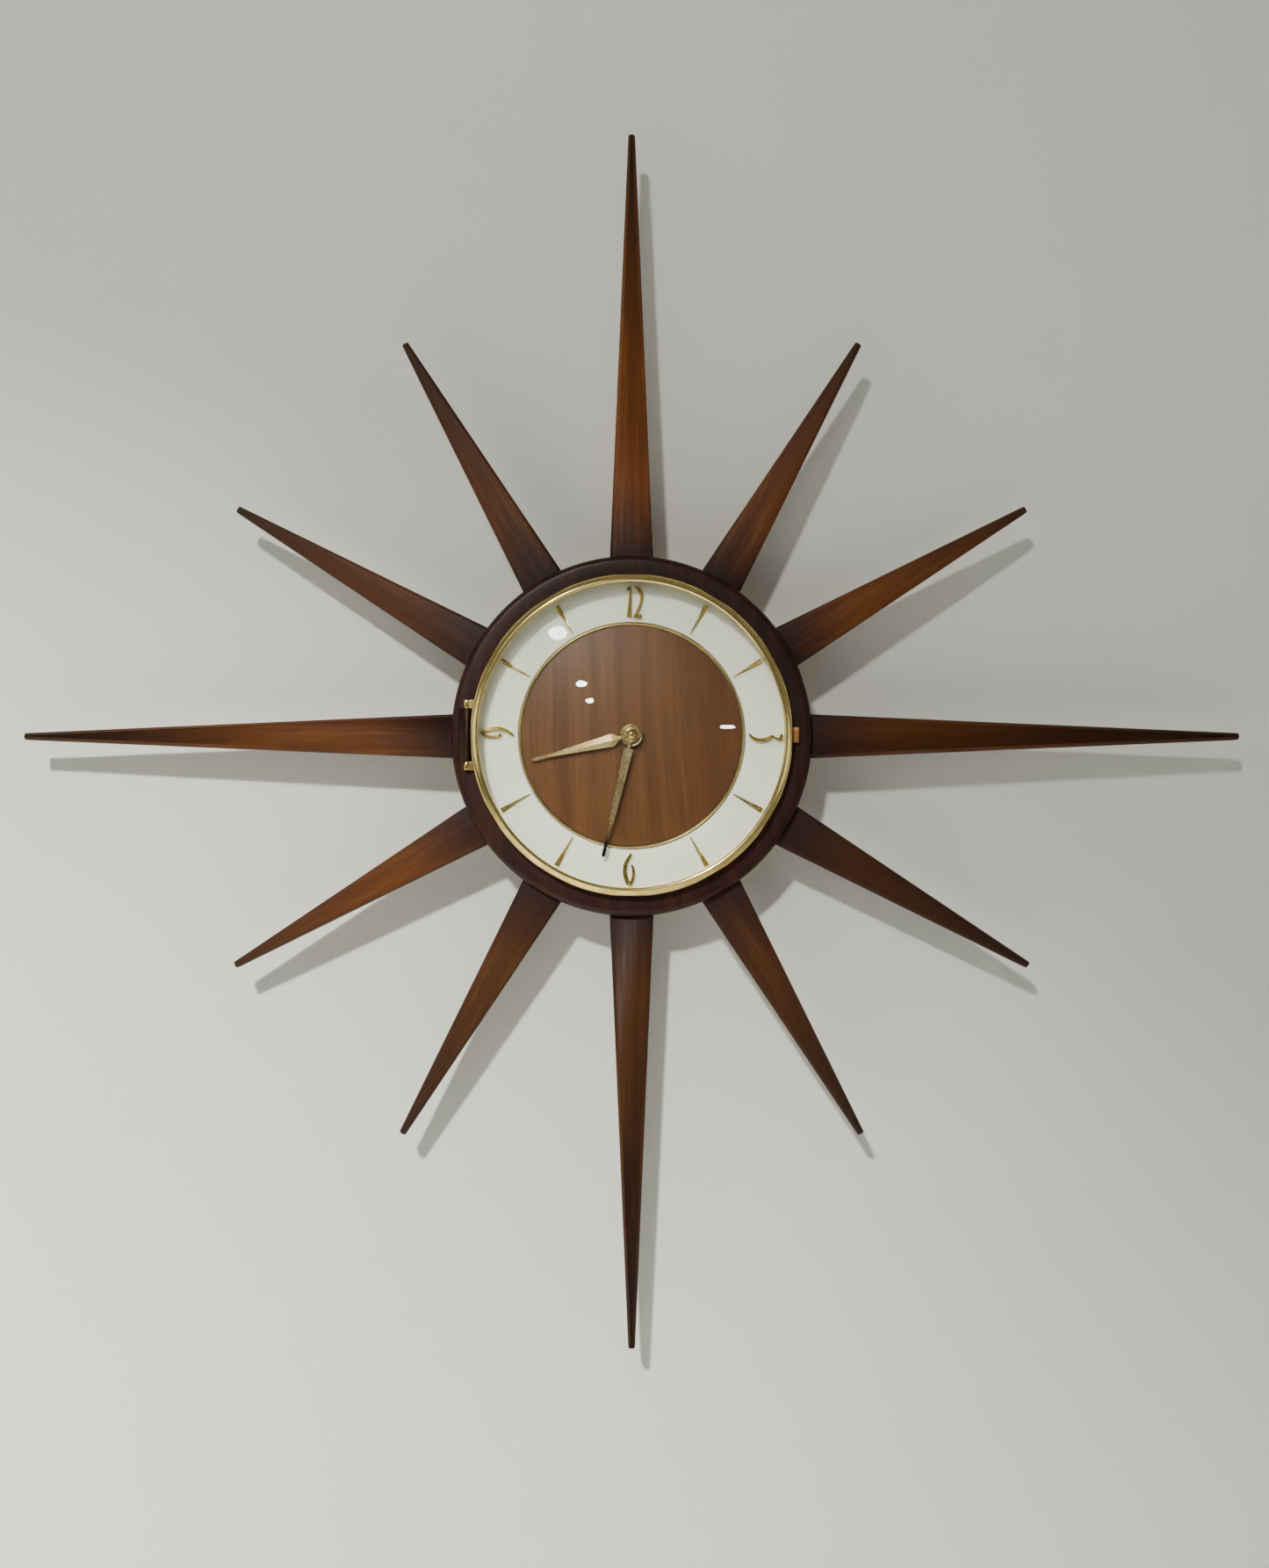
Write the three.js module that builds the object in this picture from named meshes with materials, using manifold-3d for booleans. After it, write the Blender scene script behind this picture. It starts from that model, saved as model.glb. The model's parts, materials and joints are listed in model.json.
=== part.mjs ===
// Sunburst wall clock: a turned wooden ring with twelve tapering rays, a hinged
// brass bezel, a raised-numeral dial and a battery movement behind it.
// Millimetres. +X right, +Z up, the dial faces -Y. The wall plane is y = 0 and the
// hands' axis is x = z = 0. "Rise" is the distance from the wall, so y = -rise.
import * as THREE from 'three';
import { mergeVertices } from 'three/addons/utils/BufferGeometryUtils.js';
import Module from 'manifold-3d';

const wasm = await Module();
wasm.setup();

// ---- driving dimensions ------------------------------------------------------
const SPAN = 680; // tip to tip over the long rays
const SHORT_RAY_REACH = 255.6; // hands' axis to a short ray's tip
const RING_RADIUS = 100;
const RING_BORE = { front: 86.4, back: 78 }; // the step between them carries the dial plate
const BEZEL_RADIUS = 88.8;
const BEZEL_SIGHT = 83.8; // radius of the opening seen from the front
const DIAL_RADIUS = 86;
const VENEER_RADIUS = 60.6;
const NUMERAL_RADIUS = 74.1; // where a numeral's middle sits
const TIME_MINUTES = 8 * 60 + 32.2; // the time shown at rest
const GAP = 0.3; // clearance between pieces that meet
const ROUND = 48; // facets on the large turned pieces

// rises of the main layers
const RISE = {
  cover: [0, 2],
  backing: [16, 21.7],
  ring: [22, 40],
  rays: [22, 34],
  dialPlate: [33.3, 34.3],
  chapter: [34.6, 36],
  veneer: [34.6, 36.2],
  inset: [34.6, 36.9],
  housingFront: [29, 31],
  backPlate: [6, 7.2],
  frontPlate: [22.5, 23.7],
};
const RAY_ROOT = { radius: 88, depth: 12 };
const RAY_AT_RING = 24.3; // ray width where it leaves the ring
const RAY_TIP = { width: 3.8, depth: 7.5 };
const HINGE = { x: -90.6, rise: 42.4, barrel: 1.6, pin: 0.8, half: 19.35, knuckle: 4.7 };
const MOTION_MODULE = { minute: 0.625, hour: 0.5 };
const TRAIN_MODULE = 2 / 3;
const CENTRE = [0, 0];
const MINUTE_ARBOR = [-10, 0];
const SETTING_ARBOR = [-20, 0];
const THIRD_ARBOR = [9.9, 9.9];
const INDEX_ARBOR = [21.4, 13.3];
const BALANCE_ARBOR = [-18, 20];

// ---- colours -----------------------------------------------------------------
const finish = (color, roughness, metalness) => ({ color, roughness, metalness });
const DARK_WOOD = finish(0x3a2320, 0.4, 0);
const TEAK = finish(0x6b4128, 0.5, 0);
const PLYWOOD = finish(0xb08d5e, 0.7, 0);
const VENEER = finish(0x5e3a26, 0.3, 0);
const WHITE = finish(0xc8cac0, 0.3, 0);
const BRASS = finish(0xc2a35a, 0.25, 1);
const COPPER = finish(0xa8693a, 0.35, 1);
const STEEL = finish(0x9a9c9e, 0.35, 1);
const GLASS = finish(0xeef4f2, 0.05, 0);
const BLACK_PLASTIC = finish(0x1c1c1e, 0.5, 0);
const BOARD = finish(0x8a5a2a, 0.6, 0);
const WINDING = finish(0xa05522, 0.4, 0.6);
const CELL = finish(0x4a5560, 0.4, 0.3);

const clock = new THREE.Group();

// Adds a named sub-part to the clock.
function add(name, geometry, look) {
  const mesh = new THREE.Mesh(geometry, new THREE.MeshStandardMaterial(look));
  mesh.name = name;
  clock.add(mesh);
  return mesh;
}

// ---- solids ------------------------------------------------------------------
// A manifold solid from a closed three.js geometry.
function solid(geometry) {
  const bare = geometry.clone();
  bare.deleteAttribute('normal');
  bare.deleteAttribute('uv');
  const merged = mergeVertices(bare, 1e-4);
  const corners = merged.index.array;
  const kept = [];
  for (let i = 0; i < corners.length; i += 3) {
    const [a, b, c] = [corners[i], corners[i + 1], corners[i + 2]];
    if (a !== b && b !== c && c !== a) kept.push(a, b, c);
  }
  const build = (triangles) => new wasm.Manifold(new wasm.Mesh({
    numProp: 3,
    vertProperties: merged.attributes.position.array,
    triVerts: new Uint32Array(triangles),
  }));
  const made = build(kept);
  return made.volume() > 0 ? made : build(kept.reverse());
}

// The three.js geometry of a manifold solid.
function geometryOf(manifold) {
  const mesh = manifold.getMesh();
  const geometry = new THREE.BufferGeometry();
  geometry.setAttribute('position', new THREE.BufferAttribute(mesh.vertProperties, 3));
  geometry.setIndex(new THREE.BufferAttribute(mesh.triVerts, 1));
  geometry.computeVertexNormals();
  return geometry;
}

const joined = (...pieces) => pieces.reduce((whole, piece) => whole.add(piece));
const cut = (body, ...tools) => tools.reduce((rest, tool) => rest.subtract(tool), body);

// A body turned about the axis through `at`, from [radius, rise] points.
function turned(profile, segments = 32, at = CENTRE) {
  const points = profile.map(([radius, rise]) => new THREE.Vector2(radius, -rise));
  const closed = profile.some(([radius]) => radius === 0) ? points : [...points, points[0]];
  return solid(new THREE.LatheGeometry(closed, segments).translate(at[0], 0, at[1]));
}

// A flat ring or disc between two rises.
function disc(outer, inner, [back, front], segments = 32, at = CENTRE) {
  const profile = inner
    ? [[inner, back], [outer, back], [outer, front], [inner, front]]
    : [[0, back], [outer, back], [outer, front], [0, front]];
  return turned(profile, segments, at);
}

// A shape drawn as seen from the front, extruded between two rises.
function plate(shape, [back, front], curveSegments = 4) {
  const geometry = new THREE.ExtrudeGeometry(shape, {
    depth: front - back, bevelEnabled: false, curveSegments,
  });
  return solid(geometry.rotateX(Math.PI / 2).translate(0, -back, 0));
}

const polygon = (points) => new THREE.Shape(points.map(([x, z]) => new THREE.Vector2(x, z)));

// A box from its x, rise and z ranges.
function block([x0, x1], [back, front], [z0, z1]) {
  return plate(polygon([[x0, z0], [x1, z0], [x1, z1], [x0, z1]]), [back, front]);
}

function roundedRectangle(halfWidth, z0, z1, radius) {
  const shape = new THREE.Shape();
  shape.moveTo(-halfWidth + radius, z0);
  shape.lineTo(halfWidth - radius, z0);
  shape.absarc(halfWidth - radius, z0 + radius, radius, -Math.PI / 2, 0);
  shape.absarc(halfWidth - radius, z1 - radius, radius, 0, Math.PI / 2);
  shape.absarc(-halfWidth + radius, z1 - radius, radius, Math.PI / 2, Math.PI);
  shape.absarc(-halfWidth + radius, z0 + radius, radius, Math.PI, Math.PI * 1.5);
  return shape;
}

// A closed skin through rings of points that all have the same number of corners.
function loft(rings) {
  const count = rings[0].length;
  const last = (rings.length - 1) * count;
  const triangles = [];
  for (let ring = 0; ring < rings.length - 1; ring += 1) {
    for (let i = 0; i < count; i += 1) {
      const a = ring * count + i;
      const b = ring * count + ((i + 1) % count);
      triangles.push(a, b, b + count, a, b + count, a + count);
    }
  }
  for (let i = 1; i < count - 1; i += 1) {
    triangles.push(0, i + 1, i, last, last + i, last + i + 1);
  }
  const geometry = new THREE.BufferGeometry();
  const places = new Float32Array(rings.flat(2));
  geometry.setAttribute('position', new THREE.BufferAttribute(places, 3));
  geometry.setIndex(triangles);
  return solid(geometry);
}

// Turns a solid clockwise, as seen from the front, about the hands' axis.
const clockwise = (piece, degrees) => piece.rotate([0, degrees, 0]);

// ---- case --------------------------------------------------------------------
// Half the width of a ray at a radius: straight sides from the ring to the tip.
function rayHalfWidth(radius, reach) {
  const share = (radius - RING_RADIUS) / (reach - RING_RADIUS);
  return (RAY_AT_RING + (RAY_TIP.width - RAY_AT_RING) * share) / 2;
}

// One upright ray. The front edges are chamfered, and the front slopes back to the tip.
function rayBody(reach, clearance = 0) {
  const chamfer = 1.2;
  const section = (radius, depth) => {
    const half = rayHalfWidth(radius, reach) + clearance;
    const back = -RISE.rays[0] + (clearance ? 2 : 0);
    const front = -(RISE.rays[0] + depth + clearance);
    return [
      [-half, back, radius], [half, back, radius], [half, front + chamfer, radius],
      [half - chamfer, front, radius], [-half + chamfer, front, radius],
      [-half, front + chamfer, radius],
    ];
  };
  return loft([
    section(RAY_ROOT.radius - clearance, RAY_ROOT.depth),
    section(RING_RADIUS + 2, RAY_ROOT.depth),
    section(reach, RAY_TIP.depth),
  ]);
}

function ring() {
  const [back, front] = RISE.ring;
  const edge = 4;
  const seat = RISE.dialPlate[0] - GAP;
  const rounding = [0, 1, 2, 3].map((step) => {
    const turn = (step / 3) * (Math.PI / 2);
    return [
      RING_RADIUS - edge + edge * Math.cos(turn),
      front - edge + edge * Math.sin(turn),
    ];
  });
  return turned([
    [RING_BORE.back, back], [RING_RADIUS - 1, back], [RING_RADIUS, back + 1], ...rounding,
    [RING_BORE.front + 0.5, front], [RING_BORE.front, front - 0.5], [RING_BORE.front, seat],
    [RING_BORE.back, seat],
  ], ROUND);
}

let caseRing = ring();
for (let hour = 1; hour <= 12; hour += 1) {
  const reach = hour % 3 === 0 ? SPAN / 2 : SHORT_RAY_REACH;
  const turn = hour * 30;
  caseRing = caseRing.subtract(clockwise(rayBody(reach, GAP), turn));
  const number = String(hour).padStart(2, '0');
  add(`ray_${number}`, geometryOf(clockwise(rayBody(reach), turn)), TEAK);
}
// pocket in the ring's front for the fixed hinge leaf
const leafPocket = block([-95.4, -89.4], [39.1, 41], [-14.9, 14.9]);
add('case_ring', geometryOf(cut(caseRing, leafPocket)), DARK_WOOD);
add('backing_ring', geometryOf(disc(95, 70, RISE.backing, ROUND)), PLYWOOD);

// ---- dial --------------------------------------------------------------------
const BUSH_RADIUS = 4.5;
add('dial_plate', geometryOf(disc(DIAL_RADIUS, BUSH_RADIUS + GAP, RISE.dialPlate, ROUND)), STEEL);
add('chapter_ring', geometryOf(disc(DIAL_RADIUS, 63.1, RISE.chapter, ROUND)), WHITE);
add('inset_ring', geometryOf(disc(62.8, 60.9, RISE.inset, ROUND)), BRASS);
add('veneer_disc', geometryOf(disc(VENEER_RADIUS, BUSH_RADIUS + GAP, RISE.veneer, ROUND)), VENEER);

// A stroke that swells and thins: [across, up, width] points along a smooth curve.
function stroke(points, steps = 14) {
  const line = new THREE.CatmullRomCurve3(points.map(([u, v, w]) => new THREE.Vector3(u, v, w)));
  const left = [];
  const right = [];
  for (let i = 0; i <= steps; i += 1) {
    const at = line.getPoint(i / steps);
    const along = line.getTangent(i / steps).setZ(0).normalize();
    const half = at.z / 2;
    left.push([at.x - along.y * half, at.y + along.x * half]);
    right.unshift([at.x + along.y * half, at.y - along.x * half]);
  }
  return polygon([...left, ...right]);
}

const NUMERAL_RISE = [36.3, 37.9];
const FIGURES = {
  one: [
    [[-2.64, 7.6, 1.6], [-2.55, 4.3, 1.3], [-2.7, 0, 2], [-2.95, -4, 2.2], [-3.2, -8.4, 2.8]],
    [[-2.3, 7.9, 1.5], [-3.3, 7.4, 1.6], [-4.2, 6.4, 1]],
  ],
  two: [
    [[-0.1, 8.3, 0.6], [1.8, 7.3, 2.2], [3.1, 5.6, 2.2], [3.7, 3.2, 1.7], [3.5, 0.6, 1.6],
      [2.7, -2.3, 1.5], [1.3, -5.4, 1.4], [-0.1, -8.2, 1.6]],
    [[-0.7, -8.4, 1.2], [1.4, -8.2, 2.2], [3.9, -8.2, 2.3]],
  ],
  three: [
    [[-2.2, -9.2, 0.9], [-0.3, -7.7, 1.7], [1.1, -5.3, 2.1], [1.4, -2.3, 2.3], [1.0, 0.4, 2.7],
      [-0.3, 2.6, 2.3], [-1.3, 3.1, 1.3]],
    [[-0.9, 3.1, 1.3], [0.0, 4.9, 1.3], [0.9, 6.7, 1.7], [0.8, 8.1, 2.3], [-0.7, 8.6, 2],
      [-1.9, 8.9, 1.1]],
  ],
  six: [
    [[1.36, 9.0, 1], [-0.36, 6.1, 1.8], [-1.8, 3.0, 2.3], [-2.3, -0.3, 2.2], [-1.9, -3.5, 2.4],
      [-1.0, -6.3, 2.6], [0.2, -8.0, 2.2], [1.4, -7.0, 1.8], [2.3, -4.3, 1.6],
      [2.55, -1.2, 1.6], [2.2, 1.0, 1.5], [1.4, 2.6, 1]],
  ],
  nine: [
    [[-1.6, -8.8, 1], [-0.1, -6.7, 1.5], [1.4, -4.2, 1.8], [2.1, -1.7, 2.1], [2.2, 1.3, 2.3],
      [1.8, 4.7, 2.4], [0.9, 7.2, 2.4], [-0.3, 8.1, 2.2], [-1.5, 7.0, 1.8], [-2.1, 4.7, 1.6],
      [-2.15, 1.3, 1.8], [-1.6, -1.1, 1.8], [-0.5, -1.2, 1.1]],
  ],
};

// A raised figure, standing with its top towards `turn` degrees from 12 o'clock.
function figure(name, turn, across) {
  const strokes = FIGURES[name].map((points) => {
    return plate(stroke(points, points.length > 8 ? 22 : 9), NUMERAL_RISE);
  });
  return clockwise(joined(...strokes).translate([across, 0, NUMERAL_RADIUS]), turn);
}

add('numeral_12_one', geometryOf(figure('one', 0, 1.8)), BRASS);
add('numeral_12_two', geometryOf(figure('two', 0, 1.8)), BRASS);
add('numeral_3', geometryOf(figure('three', 90, 1.2)), BRASS);
add('numeral_9', geometryOf(figure('nine', 270, 1.6)), BRASS);
const six = joined(...FIGURES.six.map((points) => plate(stroke(points, 22), NUMERAL_RISE)));
add('numeral_6', geometryOf(six.translate([-1.5, 0, -NUMERAL_RADIUS])), BRASS);

// A bar with a ridge along its top, through [distance, half width, ridge height].
function ridgedBar(stations, back, wall) {
  return loft(stations.map(([distance, half, height]) => [
    [-half, -back, distance], [half, -back, distance], [half, -(back + wall), distance],
    [0, -(back + wall + height), distance], [-half, -(back + wall), distance],
  ]));
}

for (const hour of [1, 2, 4, 5, 7, 8, 10, 11]) {
  const wedge = ridgedBar([[64.8, 0.25, 0.1], [83.0, 1.45, 1.0]], NUMERAL_RISE[0], 0.4);
  const number = String(hour).padStart(2, '0');
  add(`hour_marker_${number}`, geometryOf(clockwise(wedge, hour * 30)), BRASS);
}

// ---- bezel door ----------------------------------------------------------------
const bezelProfile = [
  [85.2, 37.2], [DIAL_RADIUS, 37.2], [DIAL_RADIUS, 40.4], [BEZEL_RADIUS, 40.4], [BEZEL_RADIUS, 43.6],
  [87.4, 47.0], [85.4, 47.9], [BEZEL_SIGHT, 47.0], [BEZEL_SIGHT, 45.4], [85.2, 44.6],
];

// The glass is a shallow dome of even thickness that sits behind the bezel's lip.
function glassDome() {
  const [edge, crown, thickness, steps] = [43.2, 4.4, 1.5, 4];
  const rim = 84.9;
  const dome = (radius) => crown * (1 - (radius / rim) ** 2);
  const radii = Array.from({ length: steps + 1 }, (_, i) => (rim * i) / steps);
  const inside = radii.map((radius) => [radius, edge - thickness + dome(radius)]);
  const outside = radii.map((radius) => [radius, edge + dome(radius)]).reverse();
  return turned([...inside, ...outside], ROUND);
}
add('bezel_glass', geometryOf(glassDome()), GLASS);

// Knuckles on the hinge's axis, at the given z ranges.
function knuckle(z0, z1, radius = HINGE.barrel, segments = 16) {
  const barrel = new THREE.CylinderGeometry(radius, radius, z1 - z0, segments);
  barrel.rotateX(Math.PI / 2).translate(HINGE.x, -HINGE.rise, (z0 + z1) / 2);
  return solid(barrel);
}
const pinBore = knuckle(-30, 30, HINGE.pin + 0.1);
const inner = HINGE.half - HINGE.knuckle;

// A knuckle and its lug, which is brazed to the bezel's flank at each end of the hinge.
function bezelLug(side) {
  const [z0, z1] = [inner, HINGE.half].map((z) => z * side).sort((a, b) => a - b);
  const lug = joined(
    knuckle(z0, z1),
    block([HINGE.x, -85.6], [41.7, 43.2], [z0, z1]),
  );
  return cut(lug, disc(BEZEL_RADIUS - 1, 60, [30, 50], ROUND), pinBore);
}
const bezel = joined(turned(bezelProfile, ROUND), bezelLug(1), bezelLug(-1));
add('bezel_ring', geometryOf(bezel), BRASS);

const fixedLeaf = joined(
  knuckle(-inner + GAP, inner - GAP, 1.3),
  block([-95, HINGE.x], [39.4, 40.2], [-inner + GAP, inner - GAP]),
  block([HINGE.x - 1.3, HINGE.x - 0.5], [39.4, HINGE.rise], [-inner + GAP, inner - GAP]),
);
add('hinge_leaf', geometryOf(cut(fixedLeaf, pinBore)), STEEL);
add('hinge_pin', geometryOf(knuckle(-HINGE.half - 0.5, HINGE.half + 0.5, HINGE.pin)), STEEL);

const TAB = { x: [BEZEL_RADIUS + GAP, 92], rise: [41.4, 43.2], z: [-4.2, 4.2] };
add('thumb_tab', geometryOf(block(TAB.x, TAB.rise, TAB.z)), COPPER);

// ---- hands -------------------------------------------------------------------
const minuteTurn = (TIME_MINUTES % 60) * 6;
const hourTurn = TIME_MINUTES / 2;
const ARBOR = { needle: 1.1, cannon: 1.8, pipeBore: 2.1, pipe: 3.1, bushBore: 3.4 };

const hourRise = 38.7;
const hourBar = ridgedBar([
  [4.5, 0.9, 0.1], [9.6, 1.0, 0.1], [11.8, 3.6, 0.9], [13.6, 3.5, 0.9], [44.5, 0.95, 0.3],
  [56.0, 0.85, 0.2], [56.6, 0.5, 0.1],
], hourRise, 0.5);
const hourBoss = disc(6.15, ARBOR.pipe - 0.4, [hourRise, hourRise + 0.9], 32);
const hourHand = cut(joined(hourBar, hourBoss), disc(ARBOR.pipe - 0.4, 0, [30, 45], 24));
add('hour_hand', geometryOf(clockwise(hourHand, hourTurn)), BRASS);

const minuteRise = 40.4;
const minuteBar = ridgedBar([
  [1.6, 0.8, 0.1], [7.6, 0.8, 0.1], [8.4, 3.0, 0.7], [9.6, 3.1, 0.8], [53.0, 1.3, 0.5],
  [55.4, 0.9, 0.2], [68.2, 0.9, 0.2], [68.8, 0.5, 0.1],
], minuteRise, 0.5);
const minuteBoss = disc(4.4, 0, [minuteRise, minuteRise + 0.8], 32);
const minuteHand = cut(joined(minuteBar, minuteBoss), disc(ARBOR.needle + GAP, 0, [30, 45], 24));
add('minute_hand', geometryOf(clockwise(minuteHand, minuteTurn)), BRASS);

const NUT_RADIUS = 3.75;
const capNut = turned([
  [0, 43.2], [ARBOR.needle + GAP, 43.2], [ARBOR.needle + GAP, 41.6], [NUT_RADIUS, 41.6],
  [NUT_RADIUS, 42.4], [2.9, 43.6], [1.9, 44.8], [0, 45.2],
], 20);
add('cap_nut', geometryOf(capNut), BRASS);

// ---- gears -------------------------------------------------------------------
// A toothed wheel between two rises. `phase` turns its first tooth from 12 o'clock.
function gear(teeth, module, rises, at, phase = 0) {
  const pitch = (teeth * module) / 2;
  const [tip, root] = [pitch + 0.8 * module, pitch - 1.15 * module];
  const step = 360 / teeth;
  const outline = [];
  for (let tooth = 0; tooth < teeth; tooth += 1) {
    const corners = [[-0.29, root], [-0.13, tip], [0.13, tip], [0.29, root]];
    for (const [offset, radius] of corners) {
      const turn = THREE.MathUtils.degToRad(phase + (tooth + offset) * step);
      outline.push([at[0] + radius * Math.sin(turn), at[1] + radius * Math.cos(turn)]);
    }
  }
  return plate(polygon(outline), rises);
}

// Clockwise direction in degrees from one arbor to another.
function bearing(from, to) {
  const degrees = THREE.MathUtils.radToDeg(Math.atan2(to[0] - from[0], to[1] - from[1]));
  return (degrees + 360) % 360;
}

// The phase that puts a tooth gap of `teeth` opposite the tooth of a driver.
const facing = (teeth, towards) => towards + 180 / teeth;

const shaft = (radius, rises, at = CENTRE, segments = 12) => disc(radius, 0, rises, segments, at);

// Motion work, in front of the front plate. Each pair meets tooth to gap.
const cannonToMinute = bearing(CENTRE, MINUTE_ARBOR);
const centreToThird = bearing(CENTRE, THIRD_ARBOR);
const centreArbor = joined(
  shaft(1.0, [6.3, 19], CENTRE),
  gear(36, TRAIN_MODULE, [18.5, 19.5], CENTRE, centreToThird),
  shaft(ARBOR.cannon, [19, 41.2], CENTRE, 20),
  gear(8, MOTION_MODULE.minute, [24, 25.6], CENTRE, cannonToMinute),
  shaft(ARBOR.needle, [41, 43.0], CENTRE),
);
// the cannon is turned down to the needle's size, which leaves a shoulder for the minute hand
const cannonShoulder = disc(ARBOR.cannon + 1, ARBOR.needle, [minuteRise - GAP, 43.4], 24);
add('centre_arbor', geometryOf(cut(centreArbor, cannonShoulder)), BRASS);

const minuteBack = cannonToMinute + 180;
const minuteWheel = joined(
  gear(24, MOTION_MODULE.minute, [24.2, 25.2], MINUTE_ARBOR, facing(24, minuteBack)),
  gear(8, MOTION_MODULE.hour, [25, 27.9], MINUTE_ARBOR, minuteBack),
);
add('minute_wheel', geometryOf(cut(minuteWheel, shaft(0.9, [20, 30], MINUTE_ARBOR))), BRASS);

const hourWheel = joined(
  gear(32, MOTION_MODULE.hour, [26.6, 27.6], CENTRE, facing(32, cannonToMinute)),
  shaft(ARBOR.pipe, [27, hourRise - 0.2], CENTRE, 24),
  shaft(ARBOR.pipe - 0.7, [hourRise - 0.3, hourRise + 0.9], CENTRE, 24),
);
add('hour_wheel', geometryOf(cut(hourWheel, shaft(ARBOR.pipeBore, [20, 45], CENTRE, 24))), BRASS);

// The hand-setting arbor drives the minute wheel from the back of the case. The
// minute wheel has a gap on both sides of the line of arbors, so this pinion has a tooth.
const settingKnob = joined(
  gear(8, MOTION_MODULE.minute, [24.2, 25.4], SETTING_ARBOR, bearing(SETTING_ARBOR, MINUTE_ARBOR)),
  shaft(0.9, [3, 24.6], SETTING_ARBOR),
  gear(12, 1, [0.8, 3.6], SETTING_ARBOR),
);
add('setting_knob', geometryOf(settingKnob), BLACK_PLASTIC);

// Going train, between the plates.
const thirdBack = bearing(THIRD_ARBOR, CENTRE);
const thirdToIndex = bearing(THIRD_ARBOR, INDEX_ARBOR);
const thirdWheel = joined(
  gear(6, TRAIN_MODULE, [17.8, 20.2], THIRD_ARBOR, facing(6, thirdBack)),
  gear(30, TRAIN_MODULE, [13, 14], THIRD_ARBOR, thirdToIndex),
  shaft(0.7, [6.3, 23.4], THIRD_ARBOR),
);
add('third_wheel', geometryOf(thirdWheel), BRASS);

const indexBack = bearing(INDEX_ARBOR, THIRD_ARBOR);
const indexWheel = joined(
  gear(6, TRAIN_MODULE, [12.3, 14.7], INDEX_ARBOR, facing(6, indexBack)),
  gear(24, 0.75, [9, 9.8], INDEX_ARBOR),
  shaft(0.7, [6.3, 23.4], INDEX_ARBOR),
);
add('index_wheel', geometryOf(indexWheel), STEEL);

// ---- balance -----------------------------------------------------------------
const balance = joined(
  disc(11.5, 9.3, [12, 13.6], 28, BALANCE_ARBOR),
  block([BALANCE_ARBOR[0] - 10, BALANCE_ARBOR[0] + 10], [12.3, 13.3],
    [BALANCE_ARBOR[1] - 1.4, BALANCE_ARBOR[1] + 1.4]),
  shaft(2.2, [11.6, 14.4], BALANCE_ARBOR),
  shaft(0.6, [6.3, 23.4], BALANCE_ARBOR),
);
add('balance_wheel', geometryOf(balance), BRASS);

// A flat spiral spring from the balance's collet to its stud.
function hairspring() {
  const [turns, steps, start, end, half] = [3.5, 42, 1.4, 7.2, 0.18];
  const outline = [[], []];
  for (let i = 0; i <= steps; i += 1) {
    const turn = (i / steps) * turns * Math.PI * 2;
    const radius = start + ((end - start) * i) / steps;
    [radius - half, radius + half].forEach((r, side) => {
      outline[side].push([
        BALANCE_ARBOR[0] + r * Math.sin(turn), BALANCE_ARBOR[1] + r * Math.cos(turn),
      ]);
    });
  }
  return plate(polygon([...outline[0], ...outline[1].reverse()]), [16.4, 17.4]);
}
add('hairspring', geometryOf(hairspring()), STEEL);

const COIL = [BALANCE_ARBOR[0], BALANCE_ARBOR[1] + 8.5];
add('drive_coil', geometryOf(disc(4.6, 1.5, [7.6, 11.2], 24, COIL)), WINDING);

const lever = joined(
  disc(3.4, 0, [4.4, 5.4], 24, BALANCE_ARBOR),
  block([BALANCE_ARBOR[0] - 0.8, BALANCE_ARBOR[0] + 0.8], [4.4, 5.4],
    [BALANCE_ARBOR[1] + 2, BALANCE_ARBOR[1] + 14]),
);
const leverBore = disc(1.9, 0, [3, 7], 20, BALANCE_ARBOR);
add('regulator_lever', geometryOf(cut(lever, leverBore)), STEEL);

// ---- movement frame ------------------------------------------------------------
const plateShape = () => roundedRectangle(34, -13.4, 35, 3);
const PILLARS = [[-31, -10], [31, -10], [-31, 32], [31, 32]];
const PIVOTS = [THIRD_ARBOR, INDEX_ARBOR, BALANCE_ARBOR];

// the pillars are riveted to the back plate
const backPlate = joined(
  plate(plateShape(), RISE.backPlate),
  ...PILLARS.map((at) => shaft(2, [6.5, RISE.frontPlate[0] - GAP], at)),
);
add('back_plate', geometryOf(cut(
  backPlate,
  ...PIVOTS.map((at) => shaft(1.0, [5, 9], at)),
  shaft(1.3, [5, 9], CENTRE),
  shaft(1.3, [5, 9], SETTING_ARBOR),
)), BRASS);

const frontPlate = cut(
  plate(plateShape(), RISE.frontPlate),
  ...PIVOTS.map((at) => shaft(1.0, [20, 25], at)),
  shaft(ARBOR.cannon + GAP, [20, 25], CENTRE, 20),
  shaft(1.3, [20, 25], SETTING_ARBOR),
);
const minutePost = shaft(0.6, [23.2, 28.2], MINUTE_ARBOR);
add('front_plate', geometryOf(joined(frontPlate, minutePost)), BRASS);

// ---- housing -------------------------------------------------------------------
const HOUSING = { half: 38, bottom: -46, top: 40, wall: 2 };
function housing() {
  const { half, bottom, top, wall } = HOUSING;
  const outside = plate(roundedRectangle(half, bottom, top, 6), [2.3, RISE.housingFront[1]]);
  const inside = plate(roundedRectangle(half - wall, bottom + wall, top - wall, 4.5),
    [1, RISE.housingFront[0]]);
  const tube = shaft(BUSH_RADIUS, [RISE.housingFront[0], 38.2], CENTRE, 28);
  return cut(joined(cut(outside, inside), tube), shaft(ARBOR.bushBore, [20, 40], CENTRE, 28));
}
add('movement_housing', geometryOf(housing()), BLACK_PLASTIC);

// a round nut with a slot across its front for the key
const dialNut = cut(
  disc(5.9, BUSH_RADIUS + GAP, [36.5, 38.1], 28),
  block([-7, 7], [37.5, 39], [-0.6, 0.6]),
);
add('dial_nut', geometryOf(dialNut), BRASS);

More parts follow.
